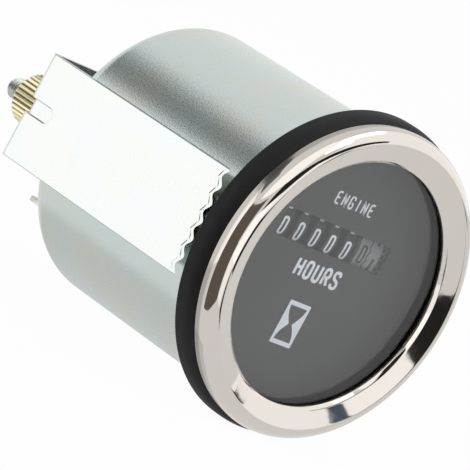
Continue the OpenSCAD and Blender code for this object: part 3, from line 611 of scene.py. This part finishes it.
work = bmesh.new()
ink_word(work, "HOURS", STROKES, UNIT_SIZE, UNIT_LINE, UNIT_GAP, (PRINT_X, UNIT_Z), dial_lay, 0.75)
fitted(ink_mesh("dial_unit", work), white_ink, "meter")

work = bmesh.new()
ink_word(work, "ENGINE", STROKES, WORD_SIZE, WORD_LINE, WORD_GAP, (PRINT_X, WORD_Z), dial_lay, 0.5)
fitted(ink_mesh("dial_word", work), white_ink, "meter")

work = bmesh.new()
inner = GLASS_H / 2 - GLASS_BAR
for end in (-1, 1):
    bar_z = GLASS_Z + end * (inner + GLASS_BAR / 2)
    ink_line(work, [Vector((PRINT_X + side * GLASS_W / 2, bar_z)) for side in (-1, 1)], GLASS_BAR,
             dial_lay, INK_RISE)
for side in (-1, 1):
    heights = [inner * i / GLASS_STEPS for i in range(-GLASS_STEPS, GLASS_STEPS + 1)]
    edge = [GLASS_NECK + (GLASS_BULB - GLASS_NECK) * math.sin(abs(z) / inner * math.pi / 2)
            for z in heights]
    rows = [[work.verts.new(dial_lay(PRINT_X + side * x, GLASS_Z + z, high) * MM)
             for x in (half, GLASS_W / 2) for high in (0, INK_RISE)]
            for half, z in zip(edge, heights)]
    ink_skin(work, rows)
fitted(ink_mesh("dial_hourglass", work), white_ink, "meter")


def dial_paint(place):
    peel = grain(place, 0.35, 3)
    dust = ease(grain(place, 0.25, 2), 0.72, 0.8)
    return {
        "Base Color": tint(dust * 0.15, tint(grain(place, 7), shade(52, 54, 54), shade(58, 60, 60)),
                           shade(140, 142, 142)),
        "Roughness": 0.5 + 0.15 * peel,
        "Normal": relief(peel, 0.002),
    }


dress(finish("dial_face", dial_paint), "dial_face", "dial")
dress(finish("spacer_black", moulded(shade(26, 26, 27), shade(36, 36, 37), 0.4)), "spacer_black",
      "spacer_ring")


# Lens: a flat disc of clear acrylic that lies on the spacer, under a thin rubber seal.
# The bezel's lip presses on the seal.
def clear_acrylic(place):
    return {
        "Base Color": tint(grain(place, 12), shade(250, 251, 251), shade(255, 255, 255)),
        "Roughness": 0.012 * ease(grain(place, 3, 4), 0.55, 0.8),
        "Transmission Weight": 1.0,
        "IOR": 1.49,
    }


def black_rubber(place):
    skin = grain(place, 0.3, 3)
    bloom = ease(grain(place, 2.4, 4), 0.45, 0.8)
    return {
        "Base Color": tint(bloom, shade(12, 13, 14), shade(22, 23, 24)),
        "Roughness": 0.55 + 0.2 * skin,
        "Specular IOR Level": 0.25,
        "Normal": relief(skin, 0.012),
    }


rubber = finish("black_rubber", black_rubber)
dress(finish("clear_lens", clear_acrylic), "clear_lens", "lens")
dress(rubber, "black_rubber", "lens_seal")


# Bezel: a ring spun from thin brass sheet and nickel-plated, then polished to a mirror.
# Its rear edge is hemmed over the case's flange, which clamps lens, dial and case together.
bezel_low, bezel_high = (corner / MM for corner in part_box("bezel"))
BEZEL_SHEET, BEZEL_ROUND, BEZEL_EASE = 0.4, 2.5, 0.13
CREASE_R, CREASE_DROP, VIEW_R, LIP_DROP, HEM_R = 22.92, 1.1, 22.32, 1.6, 26.1
WALL_BLEND = 0.25
RING_STEPS = 288


def ring_of(radius, y):
    """A ring of points round the meter's axis."""
    return [(radius * math.cos(math.tau * i / RING_STEPS), y,
             radius * math.sin(math.tau * i / RING_STEPS)) for i in range(RING_STEPS)]


def held_line(points, radius, parts=6, hold=0.25):
    """A rounded line with a point just outside each curve, which keeps the flats flat."""
    line = rounded_line(points, radius, parts)
    held = [line[0]]
    for a, b in zip(line, line[1:]):
        if (b - a).length > 3 * hold:
            way = (b - a).normalized() * hold
            held += [a + way, b - way]
        held.append(b)
    return held


bezel_r, hem_y, crest_y = bezel_high.x, bezel_high.y, bezel_low.y
side_y, crest_r = crest_y + BEZEL_ROUND, bezel_high.x - BEZEL_ROUND
quarter = [(crest_r + BEZEL_ROUND * math.cos(a), side_y - BEZEL_ROUND * math.sin(a))
           for a in (math.radians(i * 5) for i in range(19))]
inside = [(crest_r + (BEZEL_ROUND - BEZEL_SHEET) * math.cos(a),
           side_y - (BEZEL_ROUND - BEZEL_SHEET) * math.sin(a))
          for a in (math.radians(i * 10) for i in range(10))]
outside = [(HEM_R, hem_y), (bezel_r, hem_y)] + quarter
outside += [(CREASE_R, crest_y + CREASE_DROP), (VIEW_R, crest_y + LIP_DROP)]
behind = [(VIEW_R, crest_y + LIP_DROP + BEZEL_SHEET),
          (CREASE_R, crest_y + CREASE_DROP + BEZEL_SHEET)] + inside[::-1]
behind += [(bezel_r - BEZEL_SHEET, hem_y - BEZEL_SHEET), (HEM_R, hem_y - BEZEL_SHEET)]
bezel_line = held_line(outside + behind, BEZEL_EASE)


def polished_nickel(place):
    haze = grain(place, 1.8, 3)
    along = place.node("ShaderNodeSeparateXYZ", None, {0: place}, "Y")
    shaded_wall = ease(along, (side_y - WALL_BLEND) * MM, (side_y + WALL_BLEND) * MM)
    polish = tint(grain(place, 9), shade(199, 194, 187), shade(204, 198, 192))
    return {
        # Painted shade: the outer wall's colour is darkened below the face's polish; the wall is
        # also made a little rougher.
        "Base Color": tint(shaded_wall, polish, shade(162, 158, 151)),
        "Metallic": 1.0,
        "Roughness": 0.04 + 0.05 * ease(haze, 0.45, 0.8) + 0.08 * shaded_wall,
        "Normal": relief(grain(place, 4, 1), 0.01),
    }


fitted(skinned("bezel_ring", [ring_of(r, y) for r, y in bezel_line]),
       finish("bright_bezel", polished_nickel), "meter", "bright_bezel", "bezel")


# Gasket: a moulded ring of black rubber behind the bezel, which seals the meter to its panel.
# Its outer band is straight and its front edge is rounded down to the bezel.
gasket_low, gasket_high = (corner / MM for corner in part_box("panel_gasket"))
GASKET_BAND, GASKET_TAPER, GASKET_BORE, GASKET_EASE = 1.8, 1.25, 26.05, 0.3
gasket_r, gasket_front = gasket_high.x, gasket_low.y
run_in = [(gasket_r - GASKET_TAPER * (1 - math.cos(a)),
           -GASKET_BAND + (gasket_front + GASKET_BAND) * math.sin(a))
          for a in (math.radians(i * 9) for i in range(11))]
gasket_line = held_line([(GASKET_BORE, gasket_front / 2), (GASKET_BORE, 0), (gasket_r, 0)]
                        + run_in + [(GASKET_BORE, gasket_front), (GASKET_BORE, gasket_front / 2)],
                        GASKET_EASE)[:-1]
fitted(skinned("gasket_ring", [ring_of(r, y) for r, y in gasket_line]), rubber, "meter",
       "black_rubber", "panel_gasket")


# Bracket: a strip of zinc-plated steel bent to a U, with waved teeth that grip the panel.
# A bead pressed in over each bend stiffens it. The teeth's edge is stepped and sheared at a slant.
strip_low, strip_high = (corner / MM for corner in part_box("bracket"))
STRIP_EDGE, BEAD_EDGE, BEND_R = 0.2, 0.28, 1.8
BEAD_HALF, BEAD_FROM, BEAD_DEPTH = 1.4, 45.0, 0.5
DULL_HALF, DULL_FROM = 2.0, 40.0
TOOTH_REACH, SHEAR_BACK = 1.5, 1.3
STEP_BACK, STEP_RUN, STEP_DEPTH = 0.7, 0.25, 0.14


def strip_depth(spot):
    """How far a place is under the strip's outer face."""
    x, y = abs(spot.x) / MM - strip_high.x, spot.y / MM - strip_high.y
    if x > -BEND_R and y > -BEND_R:
        return BEND_R - math.hypot(x + BEND_R, y + BEND_R)
    return -max(x, y)


def step_teeth(work, side):
    """Presses a leg's toothed edge a little under its outer face, with a step along the wave."""
    face = max((f for f in work.faces if f.normal.x * side > 0.99
                and strip_depth(f.calc_center_median()) < 0.1), key=lambda f: f.calc_area())
    tips = sorted((v for v in face.verts if v.co.y / MM < strip_low.y + TOOTH_REACH),
                  key=lambda v: v.co.z)
    wave = [v.co.copy() for v in tips[1:-1]]
    for back in (STEP_BACK + STEP_RUN, STEP_BACK):
        ends = []
        for tip in (tips[0], tips[-1]):
            edge = next(e for e in tip.link_edges
                        if face in e.link_faces and e.other_vert(tip) not in tips)
            ends.append(bmesh.utils.edge_split(edge, tip, back * MM / edge.calc_length())[1])
        rest, _ = bmesh.utils.face_split(face, *ends, coords=[co + Vector((0, back * MM, 0))
                                                              for co in wave])
        face = face if tips[0] in face.verts else rest
    for vert in face.verts:
        vert.co.x -= side * STEP_DEPTH * MM


def strip_form(work):
    """Steps the teeth, slants their ends back under, and eases the beads' rims."""
    for vert in work.verts:
        if vert.co.y / MM < strip_low.y + TOOTH_REACH and strip_depth(vert.co) > 0.05:
            vert.co.y += SHEAR_BACK * MM
    for side in (-1, 1):
        step_teeth(work, side)
    work.normal_update()
    rims = [edge for edge in sharp_edges(work)
            if all(abs(v.co.z) / MM < BEAD_HALF and v.co.y / MM > BEAD_FROM
                   and strip_depth(v.co) < 0.05 for v in edge.verts)]
    round_off(work, rims, BEAD_EDGE, 5, clamped=False)


def past(value, low, high):
    """Rises from 0 to 1 between two places in millimetres."""
    return ease(value, low * MM, high * MM)


def zinc_strip(place):
    """Bright plating, darkened along the cut sides (bare steel, with painted edge shade) and by
    painted shade on the back face and the beads' rims.
    """
    spangle = grain(place, 0.32, 2)
    spot = place.node("ShaderNodeSeparateXYZ", None, {0: place})
    out, along = place.math("ABSOLUTE", spot, 0.0), spot.sibling("Y")
    aside = place.math("ABSOLUTE", spot.sibling("Z"), 0.0)
    sheared_edge_and_shade = past(aside, strip_high.z - 0.2, strip_high.z - 0.05)
    rear_edge_shade = past(along, strip_high.y - 0.4, strip_high.y - 0.1)
    face, bend = strip_high.x, strip_high.y - BEND_R
    sunk = face - BEAD_DEPTH
    rim = past(out, sunk + 0.04, sunk + 0.14) - past(out, face - 0.12, face - 0.03)
    on_leg = past(along, DULL_FROM, DULL_FROM + 1) - past(along, bend - 0.3, bend)
    bead_rim_shade = rim * on_leg * (1 - past(aside, DULL_HALF, DULL_HALF + 0.2))
    # Painted shade: the cut sides, the back face and the beads' rims are darkened to draw their
    # edge lines; on the cut sides it also stands for bare steel.
    darkening = place.math("MAXIMUM", place.math("MAXIMUM", sheared_edge_and_shade, rear_edge_shade), bead_rim_shade)
    # The strip's plating is a little paler than the case's: painted light for the brightly lit
    # strip.
    plate_with_painted_light = tint(ease(grain(place, 13), 0.36, 0.66), shade(207, 211, 211), shade(210, 211, 207))
    return {
        "Base Color": tint(darkening, plate_with_painted_light, shade(146, 150, 152)),
        "Metallic": 1.0,
        "Roughness": 0.2 + 0.12 * spangle,
        "Normal": relief(spangle, 0.006),
    }


evened(fitted(softened("bracket", "bracket_strip", STRIP_EDGE, strip_form),
              finish("zinc_strip", zinc_strip), "bracket", "zinc_plate", "bracket"))


# Nuts: two thumb nuts turned from brass bar, with straight knurling and chamfered ends.
# They run on the studs and draw the bracket against the panel.
nut_low, nut_high = (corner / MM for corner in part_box("thumb_nut_right"))
NUT_R, NUT_AT = (nut_high.x - nut_low.x) / 2, (nut_high.x + nut_low.x) / 2
NUT_CHAMFER, NUT_BORE, NUT_EASE = 0.55, 2.05, 0.2
KNURL_COUNT, KNURL_DEPTH, KNURL_FORM, KNURL_STEPS = 30, 0.42, 0.8, 8


def nut_rings(x):
    """Rings of points of a nut at a distance from the meter's axis, cut back to its knurling."""
    low, high, radius = nut_low, nut_high, NUT_R
    steps = KNURL_COUNT * KNURL_STEPS
    line = held_line([(NUT_BORE, (low.y + high.y) / 2), (NUT_BORE, low.y),
                      (radius - NUT_CHAMFER, low.y), (radius, low.y + NUT_CHAMFER),
                      (radius, high.y - NUT_CHAMFER), (radius - NUT_CHAMFER, high.y),
                      (NUT_BORE, high.y), (NUT_BORE, (low.y + high.y) / 2)], NUT_EASE, 3)[:-1]
    rings = []
    for r, y in line:
        ring = []
        for i in range(steps):
            groove = (1 - abs(math.sin(math.pi * i / KNURL_STEPS))) ** KNURL_FORM
            out, angle = min(r, radius - KNURL_DEPTH * groove), math.tau * i / steps
            ring.append((x + out * math.cos(angle), y, out * math.sin(angle)))
        rings.append(ring)
    return rings


def knurled_brass(place):
    cut = grain(place, 0.2, 2, stretch=(1, 3, 1))
    across = place.node("ShaderNodeSeparateXYZ", None, {0: place})
    aside = place.math("ABSOLUTE", across, 0.0) - NUT_AT * MM
    up = across.sibling("Z")
    out = place.math("SQRT", aside * aside + up * up, 0.0)
    # Painted shade: the knurl's grooves are coloured dark olive and the ridges pale, by how deep
    # the place is.
    clear_of_groove_shade = ease(out, (NUT_R - KNURL_DEPTH) * MM, (NUT_R - 0.05) * MM)
    return {
        "Base Color": tint(clear_of_groove_shade, shade(124, 114, 78), shade(224, 215, 184)),
        "Metallic": 1.0,
        "Roughness": 0.2 + 0.16 * cut,
        "Normal": relief(cut, 0.003),
    }


brass_nut = finish("knurled_brass", knurled_brass)
for side, x in (("left", -NUT_AT), ("right", NUT_AT)):
    fitted(skinned(f"nut_{side}_knurled", nut_rings(x)), brass_nut, f"nut_{side}",
           "knurled_brass", f"thumb_nut_{side}")


# Studio: a pale floor under the meter, a white surround, soft lamps, and cards that only the
# bright metal and the lens mirror. The camera looks from the front left with a tilted head.
FLOOR_WIDE, FLOOR_GLOW = 12.0, 0.97
AMBIENT = 0.5
STAGE_FAR = 1.5
LENS_LENGTH, SENSOR_WIDE = 300.7, 36
CAMERA_AT = Vector((-480.1, -445.0, 69.1))
SIGHT = Vector((0.7139, 0.692, -0.1069))
CAMERA_RIGHT = Vector((0.6489, -0.5965, 0.4724))
scene = bpy.context.scene


def seen_share(tree):
    """1 for what the camera sees, straight or in a mirror or through the lens, otherwise 0."""
    camera = Wire(tree).node("ShaderNodeLightPath", out="Is Camera Ray")
    mirrored = camera + camera.sibling("Is Glossy Ray") + camera.sibling("Is Transmission Ray")
    return ease(mirrored, 0.0, 1.0)


def toward(azimuth, height):
    """The direction at an azimuth from +X and at a height above the horizon, in degrees."""
    a, e = math.radians(azimuth), math.radians(height)
    return Vector((math.cos(a) * math.cos(e), math.sin(a) * math.cos(e), math.sin(e)))


def stood(thing, azimuth, height):
    """Stands a thing out in a direction, facing the meter."""
    way = toward(azimuth, height)
    thing.location = way * STAGE_FAR
    thing.rotation_mode = "QUATERNION"
    thing.rotation_quaternion = way.to_track_quat("Z", "Y")
    scene.collection.objects.link(thing)


def plane_mesh(name, wide, tall):
    mesh = bpy.data.meshes.new(name)
    mesh.from_pydata([(sx * wide / 2, sy * tall / 2, 0)
                      for sx, sy in ((-1, -1), (1, -1), (1, 1), (-1, 1))], [], [(0, 1, 2, 3)])
    return mesh


def span(degrees):
    """How wide a thing is at the stage's distance to span an angle."""
    return 2 * STAGE_FAR * math.tan(math.radians(degrees / 2))


def lamp(name, azimuth, height, wide, tall, level, mirrored=True):
    """A soft lamp that spans angles seen from the meter, as bright as a level of white."""
    light = bpy.data.lights.new(name, "AREA")
    light.shape, light.size, light.size_y = "RECTANGLE", span(wide), span(tall)
    light.energy = level * math.pi * light.size * light.size_y
    thing = bpy.data.objects.new(name, light)
    thing.visible_glossy = mirrored
    stood(thing, azimuth, height)


def card(name, colour, level, sheet):
    """A sheet that only mirrors see, as bright as a level of its colour."""
    corners, faces = sheet
    mesh = bpy.data.meshes.new(name)
    mesh.from_pydata([Vector(corner) * MM for corner in corners], [], faces)
    material = bpy.data.materials.new(name)
    material.use_nodes = True
    shader = material.node_tree.nodes["Principled BSDF"]
    shader.inputs["Base Color"].default_value = (0, 0, 0, 1)
    shader.inputs["Specular IOR Level"].default_value = 0
    shader.inputs["Emission Color"].default_value = colour
    shader.inputs["Emission Strength"].default_value = level
    mesh.materials.append(material)
    piece = bpy.data.objects.new(name, mesh)
    piece.visible_camera = piece.visible_diffuse = piece.visible_shadow = False
    piece.visible_transmission = False
    scene.collection.objects.link(piece)


def far(a0, a1, h0, h1, steps=8):
    """Corners and faces of a sheet far out, between two azimuths and two heights."""
    corners = [toward(a0 + (a1 - a0) * i / steps, height) * STAGE_FAR / MM
               for i in range(steps + 1) for height in (h0, (h0 + h1) / 2, h1)]
    return corners, [(3 * i + j, 3 * i + j + 1, 3 * i + j + 4, 3 * i + j + 3)
                     for i in range(steps) for j in range(2)]


def flat(*corners):
    """Corners of a sheet that lies just over the floor."""
    return [(x, y, cad_box[0].z / MM + 0.8) for x, y in corners], [range(len(corners))]


def upright(y, x0, x1, z0, z1):
    """Corners of a sheet that stands across the meter's axis."""
    return [(x0, y, z0), (x1, y, z0), (x1, y, z1), (x0, y, z1)], [range(4)]


world = bpy.data.worlds.new("surround")
scene.world = world
world.use_nodes = True
strength = AMBIENT + (1 - AMBIENT) * seen_share(world.node_tree)
backdrop = world.node_tree.nodes["Background"]
backdrop.inputs["Color"].default_value = (1, 1, 1, 1)
strength.feed(backdrop.inputs["Strength"], strength)

floor_stuff = bpy.data.materials.new("pale_floor")
floor_stuff.use_nodes = True
tree = floor_stuff.node_tree
paint = tree.nodes["Principled BSDF"]
paint.inputs["Base Color"].default_value = (0.8, 0.8, 0.8, 1)
paint.inputs["Roughness"].default_value = 0.9
glow = Wire(tree).node("ShaderNodeEmission", None, {"Color": (1, 1, 1, 1), "Strength": 1.0})
matt = Wire(tree, paint.outputs[0])
mixed = glow.node("ShaderNodeMixShader", None, {0: FLOOR_GLOW * seen_share(tree), 1: matt, 2: glow})
glow.feed(tree.nodes["Material Output"].inputs["Surface"], mixed)
floor_mesh = plane_mesh("floor", FLOOR_WIDE, FLOOR_WIDE)
floor_mesh.materials.append(floor_stuff)
floor = bpy.data.objects.new("floor", floor_mesh)
floor.location.z = cad_box[0].z
floor.visible_glossy = False
scene.collection.objects.link(floor)

lamp("softbox_left", 138, 1, 56, 42, 0.55)
lamp("softbox_front", -126, 14, 36, 60, 1.5, mirrored=False)
lamp("softbox_top", -60, 66, 50, 40, 1.3)
WHITE, BROWN, DARK = shade(255, 255, 255), shade(112, 103, 95), shade(46, 43, 42)
card("dark_rear_left", shade(115, 118, 120), 1, far(100, 162, 26, 41))
card("dark_left", BROWN, 1, far(166, 238, -7, 20))
card("dark_left_mat", BROWN, 1, flat((-40, 2), (-39, -26), (-35, -43), (-180, -300), (-500, -300),
                                     (-500, 110)))
card("white_left_high", WHITE, 1.6, far(-165, -100, 24, 80))
card("white_right_high", WHITE, 1.4, far(-75, 20, 10, 65))
card("white_front", WHITE, 1.7, upright(-145, -84, 24, -28, 27))
card("white_left_mat", WHITE, 1.45, flat((-33, -48), (-16, -54), (20, -145), (-84, -145)))
card("dark_front", DARK, 1, upright(-145, 32, 114, -28, 1))
card("dark_front_mat", DARK, 1, flat((-2, -62), (20, -62), (33, -118), (35, -145), (22, -145)))
card("dark_bar", DARK, 1, ([(-60, -147, 28), (20, -147, 28), (110, -147, 80), (110, -147, 112),
                            (40, -147, 100), (-60, -147, 72)], [range(6)]))
card("white_over_dark", WHITE, 1.5, upright(-146, 32, 77, 2, 55))
card("blue_front", shade(84, 100, 114), 1, upright(-146, 77.5, 92, 20, 45))
card("dark_right_low", DARK, 1, upright(-145, 262, 318, 34, 54))
card("shade_under", WHITE, 0.78, flat((-26, -4), (40, -4), (40, 60), (-26, 60)))

camera = bpy.data.objects.new("camera", bpy.data.cameras.new("camera"))
camera.data.lens, camera.data.sensor_width = LENS_LENGTH, SENSOR_WIDE
camera.data.clip_start, camera.data.clip_end = 0.01, 30
back = -SIGHT.normalized()
up = back.cross(CAMERA_RIGHT).normalized()
right = up.cross(back)
turned_to = Matrix((right, up, back)).transposed().to_4x4()
camera.matrix_world = Matrix.Translation(CAMERA_AT * MM) @ turned_to
scene.collection.objects.link(camera)
scene.camera = camera
scene.view_settings.view_transform = "Standard"
